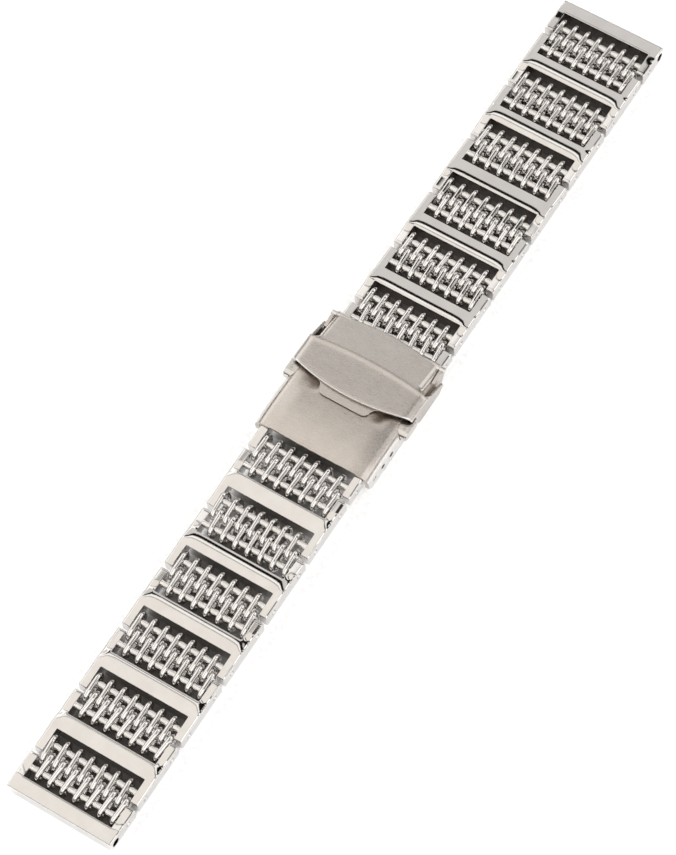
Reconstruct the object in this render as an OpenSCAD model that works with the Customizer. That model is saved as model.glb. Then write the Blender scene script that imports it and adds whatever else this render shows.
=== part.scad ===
// Mesh watch band with a push-button fold-over clasp, lying straight and closed.
// X runs across the band, Y along it (upper strap towards +Y), Z is up.
// The origin is on the table under the middle of the closed band.

/* [Band] */
// Width of the links, equal to the lug width of the watch case
band_w = 20; // [18:0.5:24]
// Thickness of the links
link_t = 3; // [2.8:0.1:3.4]
// Distance from one crossbar to the next
pitch = 12.58; // [12.2:0.02:13.4]
// Length of a window between two crossbars
window_l = 9.54; // [9.3:0.02:9.7]
// Width of the two side arms of a link
arm_w = 1.52; // [1.3:0.02:1.8]
// Gap between the arm tips of neighbouring links
tip_gap = 0.9; // [0.8:0.05:1.2]
// Radius of the rounded outer edges of a link
edge_r = 0.5; // [0.3:0.05:0.7]
// Windows in each strap
windows = 6; // [2:1:6]

/* [Mesh] */
// Wire diameter of the oval rings
wire_d = 0.7; // [0.6:0.05:0.75]
// Diameter of the cross pins that the rings turn on
pin_d = 1.3; // [1.2:0.05:1.4]
// Diameter of the pin ends that are pressed into the arms
spigot_d = 0.9; // [0.7:0.05:1]
// Radial running clearance of a ring on its pin
ring_fit = 0.06; // [0.04:0.01:0.1]
// Distance between the two pins that a ring goes round
ring_reach = 2.51; // [2.45:0.01:2.6]
// Distance from one ring to its neighbour in the other row
ring_step = 1.21; // [1.15:0.01:1.22]
// Rings in one row
rings = 7; // [5:1:7]

/* [Lug ends] */
// Length of the crossbar at a lug end
lug_bar_l = 2.66; // [2.5:0.02:3]
// Bore for the spring bar of the watch case
lug_bore_d = 1.6; // [1.5:0.1:1.8]
// Distance of that bore from the end face
lug_bore_in = 1.34; // [1.3:0.02:1.5]

/* [Clasp cover] */
// Outer half width of the cover
cover_hw = 11.2; // [11.1:0.05:11.3]
// Thickness of the cover's side walls
wall_t = 0.85; // [0.7:0.05:0.85]
// Thickness of the cover's top plate
plate_t = 0.7; // [0.6:0.05:0.75]
// Rounding along the cover's long edges
cover_r = 1.5; // [1:0.1:1.6]
// Distance between the adjustment holes
hole_pitch = 2.6; // [2.4:0.1:2.8]
// Diameter of the adjustment holes
hole_d = 1; // [0.9:0.05:1.1]

/* [Safety catch] */
// Thickness of the fold-over safety catch
catch_t = 0.8; // [0.6:0.05:0.8]
// Half width of its rear part, between the cover's ears
catch_hw = 10.2; // [10:0.05:10.25]
// Outer half width across its side wings
wing_hw = 11.8; // [11.7:0.05:11.9]

/* [Push buttons] */
// Length of a push button along the band
button_l = 4.3; // [3.8:0.1:4.3]
// Height of a push button
button_h = 2.2; // [1.8:0.1:2.2]
// Half width over both push buttons
button_hw = 12.1; // [12:0.05:12.4]
// Travel of a push button
button_travel = 0.7; // [0.4:0.05:0.7]

/* [Hidden] */

$fn = 48;
hw = band_w / 2;                 // half width of the band
in_hw = hw - arm_w;              // half width of a window
bar_l = pitch - window_l;        // length of a crossbar
arm_l = (window_l - tip_gap) / 2;
mid_z = link_t / 2;
first_y = 11.78;                 // where the first window starts, from the middle of the clasp
pin_in = window_l / 2 - ring_reach; // pin axis, from the end of its window
ring_r = pin_d / 2 + ring_fit + wire_d / 2; // radius of a ring's end, at the middle of its wire
strap_axis_y = first_y - bar_l / 2;  // the strap turns on the clasp here
lower_lift = 0.8;                // the lower strap sits this much higher in the cover
lower_tilt = 0.6;                // and slopes down to the table, in degrees
steel = "#d3cfcb";
cream = "#ece6df";
brushed = "#b4aca1";
dark = "#8d867e";

// positions of the clasp's pins: [y, z]
cover_pin_at = [6.6, 2.9];       // outer blade on the cover
fold_pin_at = [-7, 1];           // inner blade on the outer blade
catch_pin_at = [12, 3.95];       // safety catch on the cover
lower_pin_at = [-strap_axis_y, mid_z + lower_lift];
upper_pin_at = [strap_axis_y, mid_z];

function win_y(k) = first_y + (k - 1) * pitch; // near end of window k

// a block that runs along X between x0 and x1, with the [y, z] outline of its child
module across(x0, x1) {
  translate([x0, 0, 0]) rotate([90, 0, 90]) linear_extrude(height = x1 - x0) children();
}

// a rod along X
module rod(x0, x1, d, y = 0, z = 0) {
  translate([x0, y, z]) rotate([0, 90, 0]) cylinder(h = x1 - x0, d = d);
}

// a rectangle with rounded corners from [x0, y0] to [x1, y1]
module rounded(x0, y0, x1, y1, r) {
  translate([x0 + r, y0]) square([x1 - x0 - 2 * r, y1 - y0]);
  translate([x0, y0 + r]) square([x1 - x0, y1 - y0 - 2 * r]);
  for (x = [x0 + r, x1 - r], y = [y0 + r, y1 - r]) translate([x, y]) circle(r = r, $fn = 32);
}

// a stadium of length l and height h
module stadium(l, h) {
  square([l - h, h], center = true);
  for (s = [-1, 1]) translate([s * (l - h) / 2, 0]) circle(d = h);
}

// the body of a link: near and far arms around one crossbar
module link_body(y0, bar_y0, bar_y1, y1) {
  intersection() {
    union() {
      translate([-hw, bar_y0, -1]) cube([band_w, bar_y1 - bar_y0, link_t + 2]);
      for (s = [-1, 1])
        translate([s > 0 ? in_hw : -hw, y0, -1]) cube([arm_w, y1 - y0, link_t + 2]);
    }
    across(-hw - 1, hw + 1) rounded(y0, 0, y1, link_t, edge_r);
    translate([0, y1 + 1, 0]) rotate([90, 0, 0]) linear_extrude(height = y1 - y0 + 2)
      rounded(-hw, 0, hw, link_t, edge_r);
  }
}

// a cross pin with both ends pressed into the arms
module link_pin(y) {
  rod(-in_hw + 0.1, in_hw - 0.1, pin_d, y, mid_z);
  rod(-hw + 0.15, hw - 0.15, spigot_d, y, mid_z);
}

module pin_bore(y) {
  rod(-hw - 1, hw + 1, spigot_d + 0.02, y, mid_z);
}

// link between windows k and k + 1, with its two pins
module mid_link(k) {
  y = win_y(k + 1) - bar_l / 2;
  a = bar_l / 2 + arm_l;
  p = bar_l / 2 + pin_in;
  color(steel) difference() {
    link_body(y - a, y - bar_l / 2, y + bar_l / 2, y + a);
    pin_bore(y - p);
    pin_bore(y + p);
  }
  color(cream) link_pin(y - p);
  color(cream) link_pin(y + p);
}

// link at the lug end, with the bore for the spring bar of the watch case
module lug_link() {
  y = win_y(windows) + window_l;
  color(steel) difference() {
    link_body(y - arm_l, y, y + lug_bar_l, y + lug_bar_l);
    pin_bore(y - pin_in);
    rod(-hw - 1, hw + 1, lug_bore_d, y + lug_bar_l - lug_bore_in, mid_z);
  }
  color(cream) link_pin(y - pin_in);
}

// link at the clasp end; notch makes room for the knuckle of the inner blade
module clasp_link(notch, bore) {
  y = first_y;
  color(steel) difference() {
    link_body(y - bar_l, y - bar_l, y, y + arm_l);
    pin_bore(y + pin_in);
    rod(-hw - 1, hw + 1, bore, strap_axis_y, mid_z);
    if (notch) translate([-4, y - bar_l - 1, -1]) cube([8, bar_l + 0.5, link_t + 2]);
  }
  color(cream) link_pin(y + pin_in);
}

// one closed oval ring round two pins, in an upright plane
module ring(x, y) {
  translate([x, y, mid_z]) {
    for (s = [0, 1]) rotate([0, 0, 180 * s]) translate([0, ring_reach / 2, 0]) rotate([0, 90, 0])
      rotate_extrude(angle = 180) translate([ring_r, 0]) circle(d = wire_d, $fn = 24);
    for (s = [-1, 1]) translate([0, 0, s * ring_r]) rotate([90, 0, 0])
      cylinder(h = ring_reach, d = wire_d, center = true, $fn = 24);
  }
}

// a row of rings: side is -1 or 1, half a step to the left or to the right
module ring_row(y, side) {
  color(cream) for (i = [0 : rings - 1])
    ring(((i - (rings - 1) / 2) * 2 + side / 2) * ring_step, y);
}

// the floating pin in the middle of window k
module mesh_pin(k) {
  color(cream) rod(-in_hw + 0.18, in_hw - 0.18, pin_d, win_y(k) + window_l / 2, mid_z);
}

module near_rings(k) { ring_row(win_y(k) + window_l / 2 - ring_reach / 2, 1); }
module far_rings(k) { ring_row(win_y(k) + window_l / 2 + ring_reach / 2, -1); }

// the lower strap is the upper one turned half round, lifted into the cover
module lower() {
  translate([0, lower_pin_at[0], lower_pin_at[1]]) rotate([lower_tilt, 0, 0])
    translate([0, strap_axis_y, -mid_z]) rotate([0, 0, 180]) children();
}

// outer top line of the cover, from the lower edge to under the safety catch: [y, z]
cover_top = [[-12.25, 4.9], [-7.1, 5.2], [-1, 5.15], [5.7, 4.9], [9.3, 4.2]];

module clasp_cover() {
  n = len(cover_top);
  inner = cover_hw - wall_t;
  color(brushed) difference() {
    union() {
      // top plate, rounded along both edges
      intersection() {
        across(-cover_hw, cover_hw)
          polygon(concat(cover_top, [for (i = [n - 1 : -1 : 0]) cover_top[i] - [0, plate_t]]));
        translate([0, 14, 0]) rotate([90, 0, 0]) linear_extrude(height = 28)
          rounded(-cover_hw, -6, cover_hw, 5.25, cover_r);
      }
      // side walls with the ears of the safety catch
      intersection() {
        for (s = [-1, 1]) across(s > 0 ? inner : -cover_hw, s > 0 ? cover_hw : -inner) {
          polygon(concat(cover_top, [[11.3, 4.6], [12, 2.9], [11.6, 1.6], [10.4, 0.5], [-11.5, 0.5], [-12.25, 1.3]]));
          translate(catch_pin_at) circle(r = 1);
        }
        translate([0, 14, 0]) rotate([90, 0, 0]) linear_extrude(height = 28)
          rounded(-cover_hw, -6, cover_hw, 5.25, cover_r);
      }
      // two posts inside that carry the button springs
      for (s = [-1, 1]) translate([s > 0 ? 6.1 : -6.9, -1, 2.6]) cube([0.8, 1.8, 2]);
    }
    // adjustment holes; the lower strap sits in the outermost pair
    for (i = [0 : 2])
      rod(-cover_hw - 1, cover_hw + 1, hole_d, lower_pin_at[0] + i * hole_pitch, lower_pin_at[1]);
    rod(-cover_hw - 1, cover_hw + 1, 1.02, cover_pin_at[0], cover_pin_at[1]);
    rod(-cover_hw - 1, cover_hw + 1, 1.02, catch_pin_at[0], catch_pin_at[1]);
    // openings for the push buttons
    for (s = [-1, 1]) across(s > 0 ? inner - 0.2 : -cover_hw - 0.2, s > 0 ? cover_hw + 0.2 : -inner + 0.2)
      translate([-0.1, 3.2]) stadium(button_l + 0.2, button_h + 0.2);
  }
}

// pins fixed in the cover: blade hinge, safety catch hinge and the lower strap's spring bar
module cover_pins() {
  color(cream) {
    rod(-cover_hw + 0.05, cover_hw - 0.05, 1, cover_pin_at[0], cover_pin_at[1]);
    rod(-cover_hw + 0.05, cover_hw - 0.05, 1, catch_pin_at[0], catch_pin_at[1]);
    rod(-10.2, 10.2, 1.5, lower_pin_at[0], lower_pin_at[1]);
    rod(-cover_hw + 0.1, cover_hw - 0.1, hole_d - 0.04, lower_pin_at[0], lower_pin_at[1]);
  }
}

catch_top = [[-1.3, 6.05], [5.7, 5.8], [12, 4.7], [13.1, 4.35]];

module safety_catch() {
  n = len(catch_top);
  color(brushed) difference() {
    union() {
      intersection() {
        across(-wing_hw, wing_hw)
          polygon(concat(catch_top, [for (i = [n - 1 : -1 : 0]) catch_top[i] - [0, i == n - 1 ? 0.5 : catch_t]]));
        translate([0, 36.6, 0]) cylinder(h = 10, r = 37.7, $fn = 96);
        translate([0, -23.8, 0]) cylinder(h = 10, r = 36.8, $fn = 96);
        linear_extrude(height = 10)
          polygon([[-wing_hw, -2], [wing_hw, -2], [wing_hw, 5.9], [catch_hw, 6.9], [catch_hw, 14],
                   [-catch_hw, 14], [-catch_hw, 6.9], [-wing_hw, 5.9]]);
        translate([0, 15, 0]) rotate([90, 0, 0]) linear_extrude(height = 18)
          rounded(-wing_hw, -6, wing_hw, 6.1, 1);
      }
      // fingernail lip, stepped down onto the cover
      translate([0, 0, 5.23]) linear_extrude(height = 0.3)
        polygon([[-5.7, 1], [-5.7, -0.7], [-5.1, -1.1], [-4.9, -1.8], [-4.1, -2.6], [-3.8, -2.75],
                 [3.8, -2.75], [4.1, -2.6], [4.9, -1.8], [5.1, -1.1], [5.7, -0.7], [5.7, 1]]);
      // rolled knuckle
      rod(-catch_hw, catch_hw, 1.5, catch_pin_at[0], catch_pin_at[1]);
      // side wings that clip over the cover
      intersection() {
        for (s = [-1, 1]) across(s > 0 ? cover_hw + 0.1 : -wing_hw, s > 0 ? wing_hw : -cover_hw - 0.1)
          polygon([[2.3, 2.2], [3.5, 0.9], [9.4, 0.9], [10.6, 2.4], [6.3, 4.4], [5.7, 5.8], [2.3, 5.9]]);
        translate([0, 15, 0]) rotate([90, 0, 0]) linear_extrude(height = 18)
          rounded(-wing_hw, -6, wing_hw, 6.1, 1);
      }
    }
    rod(-13, 13, 1.1, catch_pin_at[0], catch_pin_at[1]);
  }
}

module outer_blade() {
  dy = fold_pin_at[0] - cover_pin_at[0];
  dz = fold_pin_at[1] - cover_pin_at[1];
  l = norm([dy, dz]);
  u = [dy, dz] / l;             // from the cover's pin towards the fold pin
  n = [-u[1], u[0]];            // across the plate
  half = 0.35;
  color(dark) difference() {
    union() {
      across(-6.9, 6.9) {
        polygon([cover_pin_at - half * n, cover_pin_at + half * n,
                 cover_pin_at + (l - 1.1) * u + half * n, cover_pin_at + (l - 1.1) * u - half * n]);
        translate(cover_pin_at) circle(r = 0.9);
      }
      across(-3.9, 3.9) {
        polygon([cover_pin_at + (l - 1.3) * u - half * n, cover_pin_at + (l - 1.3) * u + half * n,
                 fold_pin_at + half * n, fold_pin_at - half * n]);
        translate(fold_pin_at) circle(r = 0.8);
      }
    }
    rod(-8, 8, 1.1, cover_pin_at[0], cover_pin_at[1]);
    rod(-8, 8, 0.92, fold_pin_at[0], fold_pin_at[1]);
  }
}

module fold_pin() {
  color(cream) rod(-8, 8, 0.9, fold_pin_at[0], fold_pin_at[1]);
}

module inner_blade() {
  color(dark) difference() {
    union() {
      // floor plate
      translate([-8.1, -5.9, 0]) cube([16.2, 13.7, 0.7]);
      // knuckles on the fold pin
      for (s = [-1, 1]) {
        rod(s > 0 ? 4 : -8.1, s > 0 ? 8.1 : -4, 1.6, fold_pin_at[0], fold_pin_at[1]);
        translate([s > 0 ? 4 : -8.1, fold_pin_at[0], 0.2]) cube([4.1, 1.3, 0.5]);
      }
      // tongue and knuckle on the upper strap's pin
      across(-3.9, 3.9) {
        polygon([[7.5, 0], [8.9, 0], [10, 0.62], [10, 1.6], [9.3, 1.4], [7.5, 0.7]]);
        translate(upper_pin_at) circle(r = 0.9);
      }
      // upright cheeks that the push buttons catch
      for (s = [-1, 1]) {
        translate([s > 0 ? 9 : -9.5, -1.8, 0]) cube([0.5, 3.6, 1.9]);
        translate([s > 0 ? 8 : -9.4, -1.8, 0]) cube([1.4, 3.6, 0.5]);
      }
    }
    rod(-9, 9, 1, fold_pin_at[0], fold_pin_at[1]);
    rod(-5, 5, 1.22, upper_pin_at[0], upper_pin_at[1]);
  }
}

module upper_strap_pin() {
  color(cream) rod(-hw + 0.1, hw - 0.1, 1.2, upper_pin_at[0], upper_pin_at[1]);
}

// the right-hand push button, with the claw that holds the inner blade
module push_button() {
  color(brushed) {
    across(10.2, button_hw - 0.25) translate([-0.1, 3.2]) stadium(button_l, button_h);
    across(button_hw - 0.3, button_hw) translate([-0.1, 3.2]) stadium(button_l - 0.5, button_h - 0.5);
    across(9.5, 10.25) translate([-2.7, 2.1]) square([5.2, 2.2]);
    translate([7.9, -1.1, 2.1]) cube([1.8, 2, 0.55]);
    translate([7.9, -1.1, 0.95]) cube([0.9, 2, 1.3]);
  }
}

// one coil spring along X, between a post of the cover and the push button
module coil() {
  turns = 4;
  per = 12;
  r = 0.6;
  w = 0.12;
  x0 = 7.1;
  len_x = 2.2;
  n = turns * per;
  pts = [for (i = [0 : n], j = [0 : 5])
    let (a = i * 360 / per, b = j * 60, q = r + w * cos(b))
    [x0 + len_x * i / n + w * sin(b), -0.1 + q * cos(a), 3.45 + q * sin(a)]];
  faces = concat(
    [for (i = [0 : n - 1], j = [0 : 5])
      [i * 6 + j, i * 6 + (j + 1) % 6, (i + 1) * 6 + (j + 1) % 6, (i + 1) * 6 + j]],
    [[for (j = [5 : -1 : 0]) j], [for (j = [0 : 5]) n * 6 + j]]);
  polyhedron(points = pts, faces = faces, convexity = 8);
}

module button_springs() {
  color(cream) {
    coil();
    mirror([1, 0, 0]) coil();
  }
}

clasp_cover();
cover_pins();
safety_catch();
outer_blade();
fold_pin();
inner_blade();
upper_strap_pin();
mirror([1, 0, 0]) push_button();  // push_button_left
push_button();  // push_button_right
button_springs();
clasp_link(true, 1.26);  // upper_clasp_link
mid_link(1);  // upper_link_1
mid_link(2);  // upper_link_2
mid_link(3);  // upper_link_3
mid_link(4);  // upper_link_4
mid_link(5);  // upper_link_5
lug_link();  // upper_lug_link
near_rings(1);  // upper_rings_1_near
far_rings(1);  // upper_rings_1_far
near_rings(2);  // upper_rings_2_near
far_rings(2);  // upper_rings_2_far
near_rings(3);  // upper_rings_3_near
far_rings(3);  // upper_rings_3_far
near_rings(4);  // upper_rings_4_near
far_rings(4);  // upper_rings_4_far
near_rings(5);  // upper_rings_5_near
far_rings(5);  // upper_rings_5_far
near_rings(6);  // upper_rings_6_near
far_rings(6);  // upper_rings_6_far
mesh_pin(1);  // upper_mesh_pin_1
mesh_pin(2);  // upper_mesh_pin_2
mesh_pin(3);  // upper_mesh_pin_3
mesh_pin(4);  // upper_mesh_pin_4
mesh_pin(5);  // upper_mesh_pin_5
mesh_pin(6);  // upper_mesh_pin_6
lower() clasp_link(false, 1.6);  // lower_clasp_link
lower() mid_link(1);  // lower_link_1
lower() mid_link(2);  // lower_link_2
lower() mid_link(3);  // lower_link_3
lower() mid_link(4);  // lower_link_4
lower() mid_link(5);  // lower_link_5
lower() lug_link();  // lower_lug_link
lower() near_rings(1);  // lower_rings_1_near
lower() far_rings(1);  // lower_rings_1_far
lower() near_rings(2);  // lower_rings_2_near
lower() far_rings(2);  // lower_rings_2_far
lower() near_rings(3);  // lower_rings_3_near
lower() far_rings(3);  // lower_rings_3_far
lower() near_rings(4);  // lower_rings_4_near
lower() far_rings(4);  // lower_rings_4_far
lower() near_rings(5);  // lower_rings_5_near
lower() far_rings(5);  // lower_rings_5_far
lower() near_rings(6);  // lower_rings_6_near
lower() far_rings(6);  // lower_rings_6_far
lower() mesh_pin(1);  // lower_mesh_pin_1
lower() mesh_pin(2);  // lower_mesh_pin_2
lower() mesh_pin(3);  // lower_mesh_pin_3
lower() mesh_pin(4);  // lower_mesh_pin_4
lower() mesh_pin(5);  // lower_mesh_pin_5
lower() mesh_pin(6);  // lower_mesh_pin_6
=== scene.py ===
import bpy, bmesh, math, random
from mathutils import Matrix, Vector


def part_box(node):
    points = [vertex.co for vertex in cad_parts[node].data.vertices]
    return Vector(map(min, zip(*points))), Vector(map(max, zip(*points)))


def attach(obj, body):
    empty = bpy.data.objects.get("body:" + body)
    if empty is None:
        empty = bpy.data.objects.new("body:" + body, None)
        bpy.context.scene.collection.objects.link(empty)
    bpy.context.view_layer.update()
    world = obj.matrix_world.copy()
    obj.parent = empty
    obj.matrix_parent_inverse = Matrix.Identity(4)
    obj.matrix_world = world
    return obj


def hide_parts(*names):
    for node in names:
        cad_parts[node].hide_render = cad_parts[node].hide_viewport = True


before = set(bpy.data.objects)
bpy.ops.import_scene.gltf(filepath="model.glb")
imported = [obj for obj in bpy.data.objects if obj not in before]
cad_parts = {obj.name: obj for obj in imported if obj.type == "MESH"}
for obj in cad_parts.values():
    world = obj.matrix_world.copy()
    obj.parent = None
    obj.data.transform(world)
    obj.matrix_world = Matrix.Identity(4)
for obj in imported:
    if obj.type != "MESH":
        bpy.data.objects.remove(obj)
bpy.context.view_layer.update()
scene = bpy.context.scene
MM = 0.001

# ---------------------------------------------------------------- dimensions, in millimetres
PITCH, WIN, BAR, ARM_W, T = 12.58, 9.54, 3.04, 1.52, 3.0
HW, GAP = 10.0, 0.9
ARM = (WIN - GAP) / 2
INNER = HW - ARM_W
FIRST = 11.78
REACH = 2.51
PIN_IN = WIN / 2 - REACH
PIN_D, SPIGOT_D = 1.3, 0.9
WIRE_W, WIRE_T = 0.88, 0.74
SLACK = 0.4  # how far each oval ring reaches past the crossbar pin that it hangs on
RING_R = 1.06
STEP = 1.21
AXIS_Y = FIRST - BAR / 2
MID = T / 2
LOW_AT = (-AXIS_Y, MID + 0.8)
LOW_TILT = math.radians(0.6)
COVER_HW, WALL, PLATE = 11.2, 0.85, 0.4
CATCH_PIN = (12.0, 3.95)


def win_y(k):
    return FIRST + (k - 1) * PITCH


LOWER = (
    Matrix.Translation((0, LOW_AT[0], LOW_AT[1]))
    @ Matrix.Rotation(LOW_TILT, 4, "X")
    @ Matrix.Translation((0, AXIS_Y, -MID))
    @ Matrix.Rotation(math.pi, 4, "Z")
)
UPPER = Matrix.Identity(4)
STRAPS = {"upper": UPPER, "lower": LOWER}

# ---------------------------------------------------------------- camera
cam_data = bpy.data.cameras.new("Camera")
cam = bpy.data.objects.new("Camera", cam_data)
scene.collection.objects.link(cam)
right = Vector((0.84433532, 0.5339401, -0.04478655))
down = Vector((0.45710645, -0.76139587, -0.45970646))
fwd = Vector((-0.27955601, 0.36767418, -0.88694089))
pos = Vector((174.36, -233.48, 552.55)) * MM
cam.matrix_world = Matrix(
    (
        (right.x, -down.x, -fwd.x, pos.x),
        (right.y, -down.y, -fwd.y, pos.y),
        (right.z, -down.z, -fwd.z, pos.z),
        (0, 0, 0, 1),
    )
)
cam_data.sensor_fit = "HORIZONTAL"
cam_data.sensor_width = 36.0
cam_data.lens = 3728.79 / 676 * 36.0
cam_data.clip_start = 0.01
cam_data.clip_end = 20
scene.camera = cam
scene.view_settings.view_transform = "Standard"
scene.view_settings.look = "None"


# ---------------------------------------------------------------- materials
class Tree:
    """A small helper that adds nodes and links them."""

    def __init__(self, tree):
        self.t = tree

    def node(self, kind, **props):
        n = self.t.nodes.new(kind)
        for k, v in props.items():
            setattr(n, k, v)
        return n

    def put(self, socket, value):
        if isinstance(value, bpy.types.NodeSocket):
            self.t.links.new(value, socket)
        else:
            socket.default_value = value

    def math(self, op, *args, clamp=False):
        n = self.node("ShaderNodeMath", operation=op, use_clamp=clamp)
        for i, a in enumerate(args):
            self.put(n.inputs[i], a)
        return n.outputs[0]

    def noise(self, vector, scale, detail=2.0, rough=0.5, out="Fac"):
        n = self.node("ShaderNodeTexNoise")
        self.put(n.inputs["Vector"], vector)
        n.inputs["Scale"].default_value = scale
        n.inputs["Detail"].default_value = detail
        n.inputs["Roughness"].default_value = rough
        return n.outputs[out]

    def stretch(self, vector, scale):
        n = self.node("ShaderNodeMapping")
        self.put(n.inputs["Vector"], vector)
        n.inputs["Scale"].default_value = scale
        return n.outputs[0]

    def ramp(self, fac, *stops):
        n = self.node("ShaderNodeValToRGB")
        els = n.color_ramp.elements
        while len(els) < len(stops):
            els.new(0.5)
        for e, (p, c) in zip(els, stops):
            e.position = p
            e.color = (*c, 1) if not isinstance(c, float) else (c, c, c, 1)
        self.put(n.inputs["Fac"], fac)
        return n.outputs["Color"]

    def remap(self, v, a, b, c, d):
        n = self.node("ShaderNodeMapRange")
        self.put(n.inputs["Value"], v)
        for name, x in (("From Min", a), ("From Max", b), ("To Min", c), ("To Max", d)):
            n.inputs[name].default_value = x
        return n.outputs["Result"]


def steel(name, dark, light, rough, grain=None, bump=0.02, fine=9000, wide=900):
    """Bare metal: slow tone variation, uneven roughness and a fine surface texture. grain stretches the texture."""
    m = bpy.data.materials.new(name)
    m.use_nodes = True
    t = Tree(m.node_tree)
    p = m.node_tree.nodes["Principled BSDF"]
    p.inputs["Metallic"].default_value = 1.0
    co = t.node("ShaderNodeTexCoord").outputs["Object"]
    tone = t.noise(co, wide, 3.0, 0.55)
    t.put(p.inputs["Base Color"], t.ramp(tone, (0.3, dark), (0.7, light)))
    fineco = t.stretch(co, grain) if grain else co
    g = t.noise(fineco, fine, 3.0, 0.6)
    t.put(p.inputs["Roughness"], t.remap(g, 0.25, 0.75, rough[0], rough[1]))
    b = t.node("ShaderNodeBump")
    b.inputs["Strength"].default_value = bump
    b.inputs["Distance"].default_value = 0.00002
    t.put(b.inputs["Height"], g)
    t.put(p.inputs["Normal"], b.outputs["Normal"])
    return m


def satin(name, dark, light, rough, painted_light=False):
    """Brushed sheet: streaks across the band, cloudy tone and a fine grain. The cover's flag adds painted light: a
    painted shadow that darkens the colour beside the catch's edge, and walls painted lighter as a painted reflection of
    the floor."""
    m = bpy.data.materials.new(name)
    m.use_nodes = True
    t = Tree(m.node_tree)
    p = m.node_tree.nodes["Principled BSDF"]
    p.inputs["Metallic"].default_value = 1.0
    co = t.node("ShaderNodeTexCoord").outputs["Object"]
    cloud = t.noise(co, 420, 3.0, 0.55)
    streak = t.noise(t.stretch(co, (0.05, 1.0, 1.0)), 9000, 3.0, 0.65)
    grain = t.noise(co, 5200, 2.0, 0.6)
    tone = t.math("ADD", t.math("MULTIPLY", cloud, 0.45), t.math("ADD", t.math("MULTIPLY", streak, 0.3), t.math("MULTIPLY", grain, 0.25)))
    colour = t.ramp(tone, (0.36, dark), (0.62, light))
    if painted_light:
        # painted shadow: the colour is darkened in a band along the catch's curved front edge, where the catch shades
        # the cover
        xyz = t.node("ShaderNodeSeparateXYZ")
        t.put(xyz.inputs[0], co)
        bow = t.math("MULTIPLY", t.math("MULTIPLY", xyz.outputs[0], xyz.outputs[0]), 13.3)
        gap = t.math("SUBTRACT", t.math("ADD", bow, -0.0011), xyz.outputs[1])
        n = t.node("ShaderNodeMix", data_type="RGBA", blend_type="MULTIPLY")
        n.inputs[0].default_value = 1.0
        t.put(n.inputs[6], colour)
        t.put(n.inputs[7], t.ramp(t.remap(gap, 0.0, 0.0032, 0.0, 1.0), (0.0, (0.66, 0.63, 0.60)), (0.35, (0.90, 0.88, 0.86)), (1.0, (1.0, 1.0, 1.0))))
        colour = n.outputs[2]
        # painted reflection: faces turned sideways (the walls) get a lighter colour, standing for the bright floor they
        # mirror
        nrm = t.node("ShaderNodeSeparateXYZ")
        t.put(nrm.inputs[0], t.node("ShaderNodeTexCoord").outputs["Normal"])
        wall = t.remap(t.math("ABSOLUTE", nrm.outputs[0]), 0.75, 0.98, 0.0, 1.0)
        n = t.node("ShaderNodeMix", data_type="RGBA")
        t.put(n.inputs[0], wall)
        t.put(n.inputs[6], colour)
        t.put(n.inputs[7], t.ramp(tone, (0.36, (0.93, 0.91, 0.89)), (0.62, (0.98, 0.965, 0.95))))
        colour = n.outputs[2]
    t.put(p.inputs["Base Color"], colour)
    t.put(p.inputs["Roughness"], t.remap(streak, 0.3, 0.7, rough[0], rough[1]))
    b = t.node("ShaderNodeBump")
    b.inputs["Strength"].default_value = 0.22
    b.inputs["Distance"].default_value = 0.00002
    t.put(b.inputs["Height"], t.math("ADD", streak, t.math("MULTIPLY", grain, 0.6)))
    t.put(p.inputs["Normal"], b.outputs["Normal"])
    return m


M_LINK = steel("polished_link_steel", (0.86, 0.835, 0.81), (0.92, 0.90, 0.88), (0.02, 0.05), bump=0.04, fine=7000, wide=300)
M_RING = steel("polished_wire", (0.87, 0.845, 0.82), (0.94, 0.92, 0.90), (0.05, 0.10), bump=0.06, fine=5000)
M_PIN = steel("pin_steel", (0.91, 0.895, 0.875), (0.97, 0.96, 0.945), (0.10, 0.16), bump=0.06, fine=5000)
M_SATIN = satin("satin_clasp_steel", (0.665, 0.618, 0.58), (0.73, 0.688, 0.65), (0.24, 0.33))
M_BLADE = steel("blade_steel", (0.6, 0.58, 0.55), (0.7, 0.68, 0.65), (0.22, 0.32), grain=(1.0, 0.08, 1.0), bump=0.2, fine=9000)
M_COVER = satin("satin_cover_steel", (0.67, 0.62, 0.57), (0.735, 0.685, 0.64), (0.24, 0.33), painted_light=True)
M_EDGE = steel("burnished_edge", (0.9, 0.88, 0.86), (0.96, 0.945, 0.93), (0.12, 0.2), bump=0.05, fine=4000)
M_BUTTON = steel("button_steel", (0.82, 0.79, 0.75), (0.90, 0.875, 0.84), (0.14, 0.22), bump=0.1, fine=6000)


# ---------------------------------------------------------------- mesh helpers
def make(name, verts, faces, mat, body=None, matrix=UPPER, smooth=True):
    me = bpy.data.meshes.new(name)
    me.from_pydata([tuple((matrix @ Vector(v)) * MM) for v in verts], [], faces)
    me.update()
    bm = bmesh.new()
    bm.from_mesh(me)
    bmesh.ops.recalc_face_normals(bm, faces=bm.faces)
    bm.to_mesh(me)
    bm.free()
    me.materials.append(mat)
    for f in me.polygons:
        f.use_smooth = smooth
    o = bpy.data.objects.new(name, me)
    scene.collection.objects.link(o)
    if body:
        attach(o, body)
    return o


def bake(o):
    """The object's mesh with its modifiers applied; the object is removed."""
    dg = bpy.context.evaluated_depsgraph_get()
    dg.update()
    me = bpy.data.meshes.new_from_object(o.evaluated_get(dg))
    bpy.data.objects.remove(o, do_unlink=True)
    return me


def place(name, mesh, mat, body, matrix=UPPER, replaces=()):
    """A copy of a mesh in millimetre-scaled metres, moved by a matrix in millimetres."""
    me = mesh.copy()
    m = Matrix.Scale(MM, 4) @ matrix @ Matrix.Scale(1 / MM, 4)
    me.transform(m)
    me.materials.clear()
    me.materials.append(mat)
    o = bpy.data.objects.new(name, me)
    scene.collection.objects.link(o)
    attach(o, body)
    if replaces:
        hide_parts(*replaces)
    return o


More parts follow.
